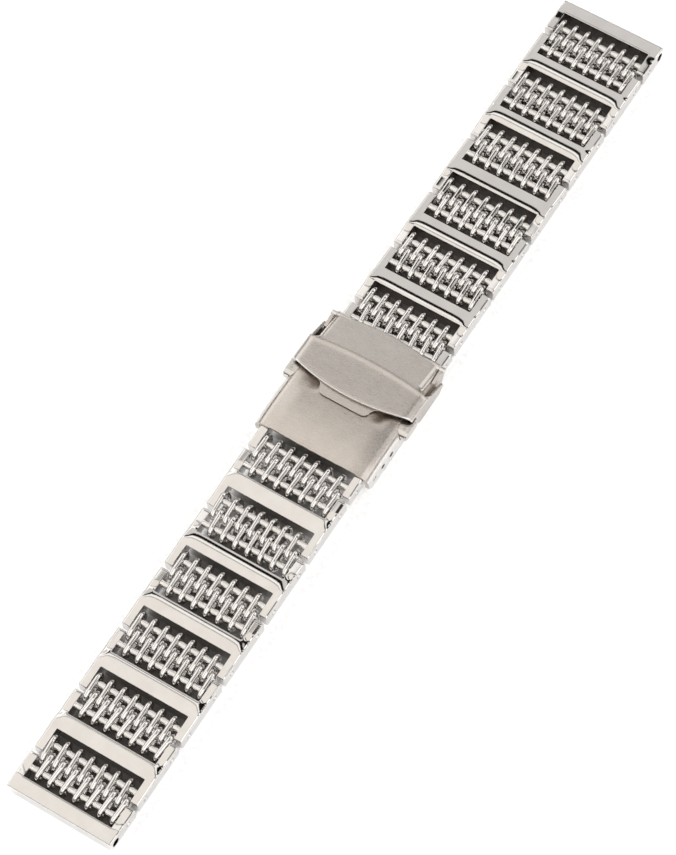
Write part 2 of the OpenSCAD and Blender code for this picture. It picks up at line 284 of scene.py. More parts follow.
def prism_x(outline, x0, x1):
    """Vertices and faces of a [y, z] outline pushed along X."""
    n = len(outline)
    v = [(x0, y, z) for y, z in outline] + [(x1, y, z) for y, z in outline]
    f = [tuple(range(n)), tuple(range(2 * n - 1, n - 1, -1))]
    f += [(i, (i + 1) % n, n + (i + 1) % n, n + i) for i in range(n)]
    return v, f


def circle(r, n, cy=0.0, cz=0.0, a0=0.0):
    return [(cy + r * math.cos(a0 + 2 * math.pi * i / n), cz + r * math.sin(a0 + 2 * math.pi * i / n)) for i in range(n)]


def stadium(l, h, cy, cz, n=12):
    r = h / 2
    s = l / 2 - r
    pts = [(cy + s + r * math.cos(a), cz + r * math.sin(a)) for a in [(-0.5 + i / n) * math.pi for i in range(n + 1)]]
    pts += [(cy - s + r * math.cos(a), cz + r * math.sin(a)) for a in [(0.5 + i / n) * math.pi for i in range(n + 1)]]
    return pts


def rod(x0, x1, d, y, z, n=32, chamfer=0.0):
    """A rod along X with chamfered ends."""
    rings = [(x0, d / 2 - chamfer), (x0 + chamfer, d / 2), (x1 - chamfer, d / 2), (x1, d / 2 - chamfer)] if chamfer else [(x0, d / 2), (x1, d / 2)]
    v, f = [], []
    for x, r in rings:
        v += [(x, py, pz) for py, pz in circle(r, n, y, z)]
    for j in range(len(rings) - 1):
        f += [(j * n + i, j * n + (i + 1) % n, (j + 1) * n + (i + 1) % n, (j + 1) * n + i) for i in range(n)]
    f.append(tuple(range(n - 1, -1, -1)))
    f.append(tuple(range((len(rings) - 1) * n, len(rings) * n)))
    return v, f


def join(*parts):
    v, f = [], []
    for pv, pf in parts:
        k = len(v)
        v += pv
        f += [tuple(i + k for i in face) for face in pf]
    return v, f


def bevel(o, width, segments=3, angle=35, weight=False):
    b = o.modifiers.new("edges", "BEVEL")
    b.width = width * MM
    b.segments = segments
    if weight:
        b.limit_method = "WEIGHT"
    else:
        b.limit_method = "ANGLE"
        b.angle_limit = math.radians(angle)
    b.harden_normals = False
    b.miter_outer = "MITER_ARC"
    return b


def even_normals(o):
    w = o.modifiers.new("normals", "WEIGHTED_NORMAL")
    w.keep_sharp = True
    w.weight = 60
    return w


def cut(o, verts_faces):
    """A boolean cut; the cutter is removed with drop_cutters()."""
    c = make("cutter", *verts_faces, M_LINK, smooth=False)
    c.hide_render = True
    m = o.modifiers.new("cut", "BOOLEAN")
    m.operation = "DIFFERENCE"
    m.solver = "EXACT"
    m.object = c
    cutters.append(c)


cutters = []


def drop_cutters():
    for c in cutters:
        bpy.data.objects.remove(c, do_unlink=True)
    cutters.clear()


# ---------------------------------------------------------------- links
CROWN_R = 17.0


def crown(y, tilt=0.0):
    """How far the top has dropped at y from the middle of the bar: a round bar, then arms that fall slowly.
    tilt is the slope at the middle of the bar, because no two links are polished quite alike."""
    e = 1.52
    if abs(y) <= e:
        return y * y / (2 * CROWN_R) + tilt * y
    g = 1.0 if y > 0 else -1.0
    s0, s1, l = e / CROWN_R + g * tilt, 0.03 + g * tilt * 0.35, 1.2
    b = abs(y) - e
    d = e * e / (2 * CROWN_R) + tilt * g * e
    if b < l:
        return d + s0 * b + (s1 - s0) * b * b / (2 * l)
    return d + (s0 + s1) / 2 * l + s1 * (b - l)


def side(x):
    a = max(0.0, abs(x) - 8.9)
    return a * a / (2 * 9.0)


def twist(x):
    """Extra slope along y near the ends of a bar, where the polishing wheel has rounded the corner."""
    a = max(0.0, abs(x) - 7.8)
    return 0.032 * a * a


def sway(y):
    """How much of that slope has built up at y from the middle of the bar; it fades out along the arms."""
    t = max(0.0, min(1.0, (abs(y) - 1.1) / 1.9 if y < 0 else (y - 0.5) / 1.1))
    return y * (1 - t * t * (3 - 2 * t))


def link_mesh(name, y_near, bar0, bar1, y_far, mid=0.0, end_round=False, pins=(), bores=(), tilt=0.0, bend=1.0, tuck=False):
    """One link: near arms, bar and far arms. y from the middle of the bar; the top is crowned. tuck rounds the bar's
    outer edges more, where it turns under the cover."""
    xs = [-10, -9.6, -9.3, -9.0, -8.75, -INNER] + [-INNER + 2 * INNER * i / 20 for i in range(1, 20)] + [INNER, 8.75, 9.0, 9.3, 9.6, 10]

    def steps(a, b, n):
        return [a + (b - a) * i / n for i in range(n)]

    ys = []
    if y_near < bar0:
        ys += [y_near] + steps(y_near + 0.6, bar0 - 0.2, 8) + [bar0 - 0.2]
    ys += [bar0] + [bar0 + (bar1 - bar0) * i / 8 for i in range(1, 8)] + [bar1]
    if y_far > bar1:
        ys += [bar1 + 0.2] + steps(bar1 + 0.2, y_far - 0.6, 8)[1:] + [y_far - 0.6, y_far]
    bm = bmesh.new()
    top, bot = {}, {}

    def at(i, j, lower):
        d = bot if lower else top
        if (i, j) not in d:
            yy = ys[j] - mid
            z = 0.0 if lower else T - crown(yy, tilt) - side(xs[i]) - twist(xs[i]) * sway(yy) * bend
            d[(i, j)] = bm.verts.new((xs[i] * MM, ys[j] * MM, z * MM))
        return d[(i, j)]

    cells = set()
    for i in range(len(xs) - 1):
        for j in range(len(ys) - 1):
            inside_bar = bar0 - 1e-6 <= ys[j] and ys[j + 1] <= bar1 + 1e-6
            arm = xs[i + 1] <= -INNER + 1e-6 or xs[i] >= INNER - 1e-6
            if inside_bar or arm:
                cells.add((i, j))
    for i, j in cells:
        bm.faces.new([at(i, j, 0), at(i + 1, j, 0), at(i + 1, j + 1, 0), at(i, j + 1, 0)])
        bm.faces.new([at(i, j + 1, 1), at(i + 1, j + 1, 1), at(i + 1, j, 1), at(i, j, 1)])
        for di, dj, a, b in ((-1, 0, (0, 0), (0, 1)), (1, 0, (1, 1), (1, 0)), (0, -1, (1, 0), (0, 0)), (0, 1, (0, 1), (1, 1))):
            if (i + di, j + dj) not in cells:
                p, q = (i + a[0], j + a[1]), (i + b[0], j + b[1])
                bm.faces.new([at(*p, 0), at(*q, 0), at(*q, 1), at(*p, 1)])
    bmesh.ops.recalc_face_normals(bm, faces=bm.faces)
    w = bm.edges.layers.float.new("bevel_weight_edge")
    for e in bm.edges:
        if len(e.link_faces) == 2 and e.calc_face_angle(0) > 0.6:
            p, q = (v.co / MM for v in e.verts)
            outer = abs(p.x) > 9.9 and abs(q.x) > 9.9
            flat = abs(p.z - q.z) < 0.5
            end = abs(p.y - q.y) < 1e-6 and (abs(p.y - ys[0]) < 1e-6 or abs(p.y - ys[-1]) < 1e-6)
            if outer and flat:
                e[w] = 1.0 if tuck and max(p.y, q.y) < 1e-6 else 0.7
            elif end and flat:
                e[w] = 1.0 if (end_round and abs(p.y - ys[-1]) < 1e-6) else 0.5
            elif flat:
                e[w] = 0.16
            else:
                e[w] = 0.3
    me = bpy.data.meshes.new(name)
    bm.to_mesh(me)
    bm.free()
    for f in me.polygons:
        f.use_smooth = True
    o = bpy.data.objects.new(name, me)
    scene.collection.objects.link(o)
    bevel(o, 0.5, 4, weight=True)
    for y in pins:
        cut(o, rod(-12, -9.0, 0.96, y, MID, 24))
        cut(o, rod(9.0, 12, 0.96, y, MID, 24))
    for y, d in bores:
        cut(o, rod(-12, 12, d, y, MID, 32))
    even_normals(o)
    me = bake(o)
    drop_cutters()
    return me


def link_pins(*ys):
    parts = []
    for y in ys:
        parts.append(rod(-INNER + 0.02, INNER - 0.02, PIN_D, y, MID, 32))
        parts.append(rod(-HW + 0.13, -INNER + 0.02, SPIGOT_D, y, MID, 24, 0.06))
        parts.append(rod(INNER - 0.02, HW - 0.13, SPIGOT_D, y, MID, 24, 0.06))
    return join(*parts)


half = BAR / 2
# slope of each link's top at the middle of its bar, in the strap's own frame
TILT = {
    ("upper", 1): 0.047, ("upper", 2): 0.023, ("upper", 3): 0.043, ("upper", 4): -0.024, ("upper", 5): -0.018,
    ("lower", 1): 0.06, ("lower", 2): -0.018, ("lower", 3): -0.008, ("lower", 4): 0.005, ("lower", 5): 0.009,
}


def mid_mesh(tilt, bend):
    return link_mesh("mid_link", -half - ARM, -half, half, half + ARM, pins=(-half - PIN_IN, half + PIN_IN), tilt=tilt, bend=bend)


def lug_mesh(tilt):
    return link_mesh("lug_link", -ARM, 0.0, 2.66, 2.66, mid=1.33, end_round=True, pins=(-PIN_IN,), bores=((1.32, 1.6),), tilt=tilt, bend=0.3)


clasp_mesh = link_mesh("clasp_link", -BAR, -BAR, 0.0, ARM, mid=-BAR / 2, pins=(PIN_IN,), bores=((-BAR / 2, 1.6),), tilt=0.06, tuck=True)


def pin_piece(name, vf, body, matrix):
    o = make(name, *vf, M_PIN, body, matrix)
    sharp(o)
    return o


def sharp(o, angle=35):
    m = o.data
    bm = bmesh.new()
    bm.from_mesh(m)
    for e in bm.edges:
        if len(e.link_faces) == 2 and e.calc_face_angle(0) > math.radians(angle):
            e.smooth = False
    bm.to_mesh(m)
    bm.free()


# ---------------------------------------------------------------- rings
def ring(x, y, sh, lean=0.0, turn=0.0, pitch=0.0, n_path=12, n_wire=16):
    """A closed oval ring round two pins, longer on the crossbar's side than it need be. sh is 1 when the floating pin is
    on its far side. lean tips it sideways, turn swings it in the plane of the band, pitch tips it along, in degrees."""
    h = REACH / 2
    hp, hm = (h, h + SLACK) if sh > 0 else (h + SLACK, h)
    path = []
    for i in range(n_path + 1):
        a = -math.pi / 2 + math.pi * i / n_path
        path.append((hp + RING_R * math.cos(a), RING_R * math.sin(a), math.cos(a), math.sin(a)))
    for i in range(1, 5):
        path.append((hp - (hp + hm) * i / 5, RING_R, 0.0, 1.0))
    for i in range(n_path + 1):
        a = math.pi / 2 + math.pi * i / n_path
        path.append((-hm + RING_R * math.cos(a), RING_R * math.sin(a), math.cos(a), math.sin(a)))
    for i in range(1, 5):
        path.append((-hm + (hp + hm) * i / 5, -RING_R, 0.0, -1.0))
    tp = math.tan(math.radians(pitch))
    ca, sa = math.cos(math.radians(lean)), math.sin(math.radians(lean))
    ct, st = math.cos(math.radians(turn)), math.sin(math.radians(turn))
    v, f = [], []
    for py, pz, ny, nz in path:
        for k in range(n_wire):
            b = 2 * math.pi * k / n_wire
            lx = WIRE_W / 2 * math.sin(b)
            ly = py + WIRE_T / 2 * math.cos(b) * ny
            lz = pz + WIRE_T / 2 * math.cos(b) * nz
            lz += ly * tp
            lx, lz = lx * ca + lz * sa, -lx * sa + lz * ca
            lx, ly = lx * ct + ly * st, -lx * st + ly * ct
            v.append((x + lx, y + ly, MID + lz))
    n = len(path)
    for i in range(n):
        for k in range(n_wire):
            j, l = (i + 1) % n, (k + 1) % n_wire
            f.append((i * n_wire + k, i * n_wire + l, j * n_wire + l, j * n_wire + k))
    return v, f


# how the rings lie in each window, in degrees: lean and turn of the near row, then of the far row
LIE = {
    ("upper", 1): (-2, -3, 1, 1), ("upper", 2): (-4, -2, 0, 2), ("upper", 3): (-1, 0, -4, 0),
    ("upper", 4): (-4, -2, 0, 3), ("upper", 5): (0, 2, 0, 0), ("upper", 6): (0, 2, 0, 2),
    ("lower", 1): (4, 2, 4, 2), ("lower", 2): (24, -3, 13, -3), ("lower", 3): (3, -1, 3, -2),
    ("lower", 4): (3, -1, 3, 0), ("lower", 5): (3, -1, 0, 3), ("lower", 6): (3, -3, 2, 2),
}
# and how far each row tips along the band
PITCH_OF = {
    ("upper", 1): (1.4, 1.4), ("upper", 2): (-0.5, 0.8), ("upper", 3): (1.4, 0.0),
    ("upper", 4): (0.0, 1.6), ("upper", 5): (-0.9, -0.8), ("upper", 6): (0.0, 0.0),
}
rnd = random.Random(4)
for s, mat in STRAPS.items():
    body = f"{s}_clasp_link"
    place(f"{s}_clasp_link_body", clasp_mesh, M_LINK, body, mat @ Matrix.Translation((0, FIRST, 0)), (body,))
    pin_piece(f"{s}_clasp_link_pin", link_pins(FIRST + PIN_IN), body, mat)
    for k in range(1, 7):
        y0 = win_y(k)
        for row, c, sh in (("near", y0 + WIN / 2 - REACH / 2, 1), ("far", y0 + WIN / 2 + REACH / 2, -1)):
            lean, turn = LIE[(s, k)][:2] if row == "near" else LIE[(s, k)][2:]
            tip = PITCH_OF.get((s, k), (0.0, 0.0))[0 if row == "near" else 1]
            node = f"{s}_rings_{k}_{row}"
            parts = [
                ring(((i - 3) * 2 + sh / 2) * STEP, c, sh, lean + rnd.uniform(-1, 1), turn + rnd.uniform(-0.8, 0.8), tip)
                for i in range(7)
            ]
            o = make(node + "_wire", *join(*parts), M_RING, node, mat)
            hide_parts(node)
        mp = f"{s}_mesh_pin_{k}"
        o = make(mp + "_rod", *rod(-8.3, 8.3, PIN_D, y0 + WIN / 2, MID, 32, 0.12), M_PIN, f"{s}_rings_{k}_near", mat)
        sharp(o)
        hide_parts(mp)
        yl = y0 + WIN
        if k < 6:
            body = f"{s}_link_{k}"
            yc = yl + half
            place(body + "_body", mid_mesh(TILT[(s, k)], 1.0 if s == "upper" else -0.8), M_LINK, body, mat @ Matrix.Translation((0, yc, 0)), (body,))
            pin_piece(body + "_pins", link_pins(yc - half - PIN_IN, yc + half + PIN_IN), body, mat)
        else:
            body = f"{s}_lug_link"
            place(body + "_body", lug_mesh(0.075 if s == "upper" else 0.0), M_LINK, body, mat @ Matrix.Translation((0, yl, 0)), (body,))
            pin_piece(body + "_pin", link_pins(yl - PIN_IN), body, mat)

# ---------------------------------------------------------------- clasp cover
TOP = [(-12.25, 4.58), (-10.4, 4.88), (-8.2, 5.04), (-5.8, 5.07), (-4.0, 5.04), (-2.4, 4.96), (1, 4.79), (5.7, 4.72), (9.3, 4.28)]


def along(points, y):
    for (a, za), (b, zb) in zip(points, points[1:]):
        if y <= b:
            return za + (zb - za) * (y - a) / (b - a)
    return points[-1][1]


def soft(points, y, w=0.9):
    n = 9
    return sum(along(points, min(max(y + w * (2 * i / (n - 1) - 1), points[0][0]), points[-1][0])) for i in range(n)) / n


def bump01(t):
    """A smooth hump: 1 at 0, 0 from 1 on."""
    t = min(1.0, abs(t))
    return (1 - t * t) ** 2


FALL_X, FALL_W, FALL_S = 6.4, 3.0, 0.24


def fall(x):
    """How far the cover's top has fallen towards its long edges."""
    a = max(0.0, abs(x) - FALL_X)
    return FALL_S * a * a / (2 * FALL_W) if a < FALL_W else FALL_S * FALL_W / 2 + FALL_S * (a - FALL_W)


def dimple(x, y):
    """The pressed hollow that lets a fingernail reach the lip: deepest beside the lip's roots."""
    side_x = abs(x)
    return 0.48 * bump01((side_x - 6.3) / 2.3) * bump01((y + 1.0) / 2.6) + 0.10 * bump01(side_x / 7.5) * bump01((y + 0.8) / 2.6)


def cover_shell_mesh():
    """The folded sheet of the cover: stations along y, a softly crowned top, rounded long edges and two walls."""
    ys = [-12.25, -12.05, -11.7] + [-11.4 + 0.36 * i for i in range(58)]
    ys = [y for y in ys if y < 9.2] + [9.3]
    v, f = [], []
    r, wall, plate = 1.9, WALL, PLATE
    na, nt = 8, 26
    for y in ys:
        zt, zb = soft(TOP, y, 0.8), along([(-12.25, 1.3), (-11.5, 0.5), (9.3, 0.5)], y)

        def half_line(h, rr, drop):
            flat = h - rr
            slope = math.atan(FALL_S)
            pts = [(h, zb)]
            ztop = zt - fall(flat) - drop
            # arc from the vertical wall to the slope at the top's edge
            cx = h - rr
            zc = ztop - rr * math.cos(slope)
            for i in range(1, 4):
                pts.append((h, zb + (zc - zb) * i / 4))
            span = math.pi / 2 - slope
            for i in range(na):
                a = span * i / (na - 1)
                pts.append((cx + rr * math.cos(a) - rr * math.sin(slope) * 0.0, zc + rr * math.sin(a)))
            x_end = cx + rr * math.cos(span)
            z_end = zc + rr * math.sin(span)
            for i in range(1, nt):
                x = x_end * (1 - i / nt)
                base = zt - drop - fall(x) + (z_end - (zt - drop - fall(x_end)))
                k = max(0.0, 1 - (x_end - x) / 2.0)
                pts.append((x, zt - drop - fall(x) + (z_end - (zt - drop - fall(x_end))) * k * k))
            return pts

        out = half_line(COVER_HW, r, 0.0)
        inn = half_line(COVER_HW - wall, 0.55, plate)
        loop = out + [(0.0, zt)] + [(-x, z) for x, z in reversed(out)]
        iloop = inn + [(0.0, zt - plate)] + [(-x, z) for x, z in reversed(inn)]
        pts = loop + list(reversed(iloop))
        for i, (x, z) in enumerate(pts):
            t = max(0.0, min(1.0, (-9.5 - y) / 2.75))
            dy = 0.22 * t * ((x / COVER_HW) ** 2)
            if z > zt - 1.3:
                z -= dimple(x, y)
            v.append((x, y + dy, z))
    n = len(pts)
    m = n // 2
    for j in range(len(ys) - 1):
        for i in range(n):
            k = (i + 1) % n
            f.append((j * n + i, j * n + k, (j + 1) * n + k, (j + 1) * n + i))
    for j in (0, len(ys) - 1):
        for i in range(m - 1):
            f.append((j * n + i, j * n + i + 1, j * n + n - 2 - i, j * n + n - 1 - i))
    return v, f


cover = make("cover_shell", *cover_shell_mesh(), M_SATIN)
for s in (-1, 1):
    x0, x1 = (COVER_HW - WALL - 0.6, COVER_HW + 0.6) if s > 0 else (-COVER_HW - 0.6, -COVER_HW + WALL + 0.6)
    cut(cover, prism_x(stadium(4.5, 2.4, -0.1, 3.2), x0, x1))
for i in range(3):
    cut(cover, rod(-13, 13, 1.0, LOW_AT[0] + 2.6 * i, LOW_AT[1], 28))
cut(cover, rod(-13, 13, 1.04, 6.6, 2.9, 28))
bevel(cover, 0.12, 2, 40)
even_normals(cover)
me = bake(cover)
drop_cutters()
place("cover_shell", me, M_COVER, "cover", UPPER, ("clasp_cover",))

# two ears behind the cover carry the safety catch's pin; they are thin and stop short of the catch's rear corners
ear = [(9.0, 0.52), (10.3, 0.52), (11.5, 1.6), (12.3, 3.0), (12.42, 3.7)]
ear += [(12.0 + 0.45 * math.cos(a), 3.95 + 0.45 * math.sin(a)) for a in [math.radians(-10 + 14 * i) for i in range(11)]]
ear += [(10.9, 4.35), (9.3, 4.12), (9.0, 4.1)]
for s, n in ((1, "right"), (-1, "left")):
    a, b = 10.37, 10.95
    o = make(f"cover_ear_{n}", *prism_x(ear, a if s > 0 else -b, b if s > 0 else -a), M_SATIN)
    cut(o, rod(-13, 13, 1.02, *CATCH_PIN, 28))
    bevel(o, 0.1, 2, 40)
    even_normals(o)
    me = bake(o)
    drop_cutters()
    place(f"cover_ear_{n}", me, M_SATIN, "cover", UPPER, ())

# ---------------------------------------------------------------- safety catch
CATCH_T = 0.5


def front_edge(x):
    return 36.6 - math.sqrt(37.7 ** 2 - x * x)


def rear_edge(x):
    return -23.8 + math.sqrt(36.8 ** 2 - x * x)


def crease_edge(x):
    return 6.3 - x * x / 150.0


def catch_z(y, yc):
    """Height of the catch's outer skin: front plate, a raised fold line, and a rear plate that slopes down."""
    if y <= yc:
        z = 5.80 + 0.035 * (yc - y) + 0.012 * min(0.0, y - 1.0)
    else:
        z = 5.80 - 0.165 * (y - yc) - 0.004 * (y - yc) ** 2
    return z + 0.10 * math.exp(-((y - yc) / 0.30) ** 2)


def catch_shell():
    """The catch's sheet: rows from the free edge over the fold to the rear edge, each a line across with rounded sides."""
    v, f = [], []
    front_rows, rear_rows = 16, 22
    half_top, half_rear = 11.8, 10.25
    na, nt = 9, 22
    t = CATCH_T
    us = [(0, i / front_rows) for i in range(front_rows)]
    us = us[:-1] + [(0, 0.955), (0, 0.978)] + [(1, 0.0), (1, 0.03), (1, 0.06)] + [(1, 0.06 + 0.94 * i / rear_rows) for i in range(1, rear_rows + 1)]
    for part, u in us:
        for inner in (False, True):
            if part == 0:
                h = half_top
            else:
                d = u * 6.4
                h = half_top + (half_rear - half_top) * min(1.0, max(0.0, (d - 0.1) / 0.85))
            rx, rz = (1.7, 0.95) if part == 0 else (1.7 - 0.5 * min(1.0, u * 6), 0.95)
            hh = h - (t if inner else 0)
            rxx, rzz = (rx - (t if inner else 0)), (rz - (t if inner else 0))
            pts = []
            for i in range(na):
                a = math.pi / 2 * i / (na - 1)
                pts.append((hh - rxx + rxx * math.cos(a), -(rzz - rzz * math.sin(a))))
            for i in range(1, nt):
                x = (hh - rxx) * (1 - i / nt)
                pts.append((x, 0.0))
            pts = pts + [(0.0, 0.0)] + [(-x, z) for x, z in reversed(pts)]
            if inner:
                pts = list(reversed(pts))
            for x, dz in pts:
                fe, ce, re = front_edge(x), crease_edge(x), rear_edge(x)
                y = fe + (ce - fe) * u if part == 0 else ce + (re - ce) * u
                v.append((x, y, catch_z(y, ce) + dz - (t if inner else 0)))
    rows = len(us) - 1
    n = len(v) // (rows + 1)
    m = n // 2
    for j in range(rows):
        for i in range(n):
            k = (i + 1) % n
            f.append((j * n + i, j * n + k, (j + 1) * n + k, (j + 1) * n + i))
    for j in (0, rows):
        for i in range(m - 1):
            f.append((j * n + i, j * n + i + 1, j * n + n - 2 - i, j * n + n - 1 - i))
    return v, f


catch = make("catch_sheet", *catch_shell(), M_SATIN)
bevel(catch, 0.06, 2, 45)
even_normals(catch)
me = bake(catch)
place("catch_sheet", me, M_SATIN, "safety_catch", UPPER, ("safety_catch",))


def tube(path, r, n=10):
    """A round wire along a list of points, with closed ends."""
    v, f = [], []
    for i, p in enumerate(path):
        a, b = path[max(0, i - 1)], path[min(len(path) - 1, i + 1)]
        d = (Vector(b) - Vector(a)).normalized()
        side_v = d.cross(Vector((0.1, 0.2, 1))).normalized()
        up = side_v.cross(d)
        for k in range(n):
            t = 2 * math.pi * k / n
            q = Vector(p) + side_v * (r * math.cos(t)) + up * (r * math.sin(t))
            v.append(tuple(q))
    for i in range(len(path) - 1):
        for k in range(n):
            l = (k + 1) % n
            f.append((i * n + k, i * n + l, (i + 1) * n + l, (i + 1) * n + k))
    f.append(tuple(range(n - 1, -1, -1)))
    f.append(tuple(range((len(path) - 1) * n, len(path) * n)))
    return v, f


# the rolled and polished free edge, which turns down at both corners
edge_path = []
for s in (-1, 1):
    part = []
    for i in range(8):
        a = math.pi / 2 * i / 7
        x = s * (11.8 - 1.7 + 1.7 * math.cos(a) - 0.12)
        part.append((x, front_edge(x) + 0.02, catch_z(front_edge(x), crease_edge(x)) - 0.95 + 0.95 * math.sin(a) - 0.14))
    part += [(s * (10.1 - 10.1 * i / 12), front_edge(10.1 - 10.1 * i / 12) + 0.02, catch_z(front_edge(10.1 - 10.1 * i / 12), 6.3) - 0.14) for i in range(1, 13)]
    edge_path += part if s < 0 else list(reversed(part[:-1]))
o = make("catch_edge", *tube(edge_path, 0.17, 12), M_EDGE, "safety_catch")

wing = [(1.9, 2.3), (2.9, 1.1), (9.2, 1.1), (10.4, 2.3), (10.4, 2.9), (6.6, 4.35), (6.1, 5.0), (1.9, 5.05)]
for s, n in ((1, "right"), (-1, "left")):
    a, b = 11.26, 11.79
    o = make(f"catch_wing_{n}", *prism_x(wing, a if s > 0 else -b, b if s > 0 else -a), M_SATIN)
    bevel(o, 0.15, 2, 30)
    even_normals(o)
    me = bake(o)
    place(f"catch_wing_{n}", me, M_SATIN, "safety_catch", UPPER, ())
o = make("catch_knuckle", *rod(-10.18, 10.18, 1.4, *CATCH_PIN, 40, 0.1), M_SATIN)
me = bake(o)
place("catch_knuckle", me, M_SATIN, "safety_catch", UPPER, ())

# the lip below the free edge: flared roots, and a thin dark gap round it
lip = [(-5.9, 0.6), (-5.9, -0.55), (-5.35, -0.85), (-5.0, -1.35), (-4.85, -1.95), (-4.45, -2.5), (-3.85, -2.75)]
lip = lip + [(-x, y) for x, y in reversed(lip)]
nl = len(lip)


def lip_z(x, y):
    return 5.13 + 0.05 * max(0.0, y + 0.6)


lv = [(x, y, lip_z(x, y)) for x, y in lip] + [(x, y, lip_z(x, y) + 0.22) for x, y in lip]
lf = [tuple(range(nl - 1, -1, -1)), tuple(range(nl, 2 * nl))] + [(i, (i + 1) % nl, nl + (i + 1) % nl, nl + i) for i in range(nl)]
o = make("catch_lip", lv, lf, M_SATIN)
bevel(o, 0.05, 2, 40)
even_normals(o)
me = bake(o)
place("catch_lip", me, M_SATIN, "safety_catch", UPPER, ())

# ---------------------------------------------------------------- push buttons: a ribbed oval cap on a stem
for s, n in ((1, "right"), (-1, "left")):
    node = f"push_button_{n}"
    blo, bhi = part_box(node)
    x_out = (bhi[0] if s > 0 else -blo[0]) / MM
    yc, zc2 = (blo[1] + bhi[1]) / 2 / MM, 3.2
    rims = [(x_out - 1.15, 0.0), (x_out - 0.72, 0.0)] + [(x_out - 0.72 + 0.5 * math.sin(a), 0.5 * (1 - math.cos(a))) for a in [math.pi / 12 * i for i in range(1, 7)]]
    body_v, body_f = [], []
    for xr, cut_in in rims:
        body_v += [(s * xr, py, pz) for py, pz in stadium(4.3 - 2 * cut_in, 2.2 - 2 * cut_in, -0.1, 3.2, 14)]
    nr = len(body_v) // len(rims)
    body_f += [(j * nr + i, j * nr + (i + 1) % nr, (j + 1) * nr + (i + 1) % nr, (j + 1) * nr + i) for j in range(len(rims) - 1) for i in range(nr)]
    body_f += [tuple(range(nr - 1, -1, -1)), tuple(range((len(rims) - 1) * nr, len(rims) * nr))]
    cap = make(node + "_cap", body_v, body_f, M_BUTTON)
    for zo, l in ((-0.6, 0.9), (0.0, 1.3), (0.6, 0.9)):
        c = make("cutter", *tube([(s * (x_out - 0.12), -0.1 - l - 0.3, 3.2 + zo + 0.36), (s * (x_out - 0.12), -0.1 + l + 0.3, 3.2 + zo + 0.36)], 0.2, 10), M_BUTTON)
        c.hide_render = True
        md = cap.modifiers.new("cut", "BOOLEAN")
        md.operation, md.solver, md.object = "DIFFERENCE", "EXACT", c
        cutters.append(c)
    bevel(cap, 0.04, 2, 40)
    even_normals(cap)
    me = bake(cap)
    drop_cutters()
    place(node + "_cap", me, M_BUTTON, node, UPPER, ())
    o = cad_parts[node]
    for sl in o.material_slots:
        sl.material = M_BUTTON

# ---------------------------------------------------------------- the rest of the clasp keeps its CAD shape
for node, mat in (
    ("cover_pins", M_PIN), ("outer_blade", M_BLADE), ("fold_pin", M_PIN), ("inner_blade", M_BLADE),
    ("upper_strap_pin", M_PIN), ("button_springs", M_PIN),
):
    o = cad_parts[node]
    for sl in o.material_slots:
        sl.material = mat
    if not o.material_slots:
        o.data.materials.append(mat)

# ---------------------------------------------------------------- floor, light and surroundings
floor_me = bpy.data.meshes.new("floor")
floor_me.from_pydata([(-3, -3, 0), (3, -3, 0), (3, 3, 0), (-3, 3, 0)], [], [(0, 1, 2, 3)])
floor = bpy.data.objects.new("floor", floor_me)
scene.collection.objects.link(floor)
floor.location.z = -0.00002
fm = bpy.data.materials.new("floor_paper")
fm.use_nodes = True
ft = Tree(fm.node_tree)
fp = fm.node_tree.nodes["Principled BSDF"]
fco = ft.node("ShaderNodeTexCoord").outputs["Object"]
fcol = ft.ramp(ft.noise(fco, 1300, 3.0, 0.6), (0.36, (0.85, 0.84, 0.83)), (0.64, (0.95, 0.945, 0.94)))
# painted shade: rays reflected off the metal see the floor at about 0.7 instead of its lit colour, so the band's sides
# mirror a shaded floor
fmix = ft.node("ShaderNodeMix", data_type="RGBA")
ft.put(fmix.inputs[0], ft.node("ShaderNodeLightPath").outputs["Is Glossy Ray"])
ft.put(fmix.inputs[6], fcol)
ft.put(fmix.inputs[7], ft.ramp(ft.noise(fco, 40, 4.0), (0.3, (0.68, 0.68, 0.68)), (0.7, (0.72, 0.72, 0.72))))
ft.put(fp.inputs["Base Color"], fmix.outputs[2])
fp.inputs["Roughness"].default_value = 0.9
fp.inputs["Specular IOR Level"].default_value = 0.1
floor_me.materials.append(fm)

world = bpy.data.worlds.new("studio")
scene.world = world
world.use_nodes = True
wn = world.node_tree
wn.nodes.clear()
w = Tree(wn)
direction = w.node("ShaderNodeTexCoord").outputs["Generated"]
sep = w.node("ShaderNodeSeparateXYZ")
w.put(sep.inputs[0], direction)
dx, dy, dz = sep.outputs
zc = w.math("MAXIMUM", dz, 0.02)
U = w.math("DIVIDE", dx, zc)
V = w.math("DIVIDE", dy, zc)


ROW = w.math("MULTIPLY", w.math("DIVIDE", V, w.math("SQRT", w.math("ADD", w.math("MULTIPLY", U, U), 1.0))), 1.0481)


def panel(u0, u1, v0, v1, r, edge=0.01, across=None):
    """1 inside a rectangle with rounded corners on the ceiling plane, 0 outside."""
    cu, cv, hu, hv = (u0 + u1) / 2, (v0 + v1) / 2, (u1 - u0) / 2 - r, (v1 - v0) / 2 - r
    qx = w.math("SUBTRACT", w.math("ABSOLUTE", w.math("SUBTRACT", U, cu)), hu)
    qy = w.math("SUBTRACT", w.math("ABSOLUTE", w.math("SUBTRACT", across or V, cv)), hv)
    mx, my = w.math("MAXIMUM", qx, 0.0), w.math("MAXIMUM", qy, 0.0)
    out = w.math("SQRT", w.math("ADD", w.math("MULTIPLY", mx, mx), w.math("MULTIPLY", my, my)))
    ins = w.math("MINIMUM", w.math("MAXIMUM", qx, qy), 0.0)
    d = w.math("SUBTRACT", w.math("ADD", out, ins), r)
    return w.remap(d, -edge, edge, 1.0, 0.0)


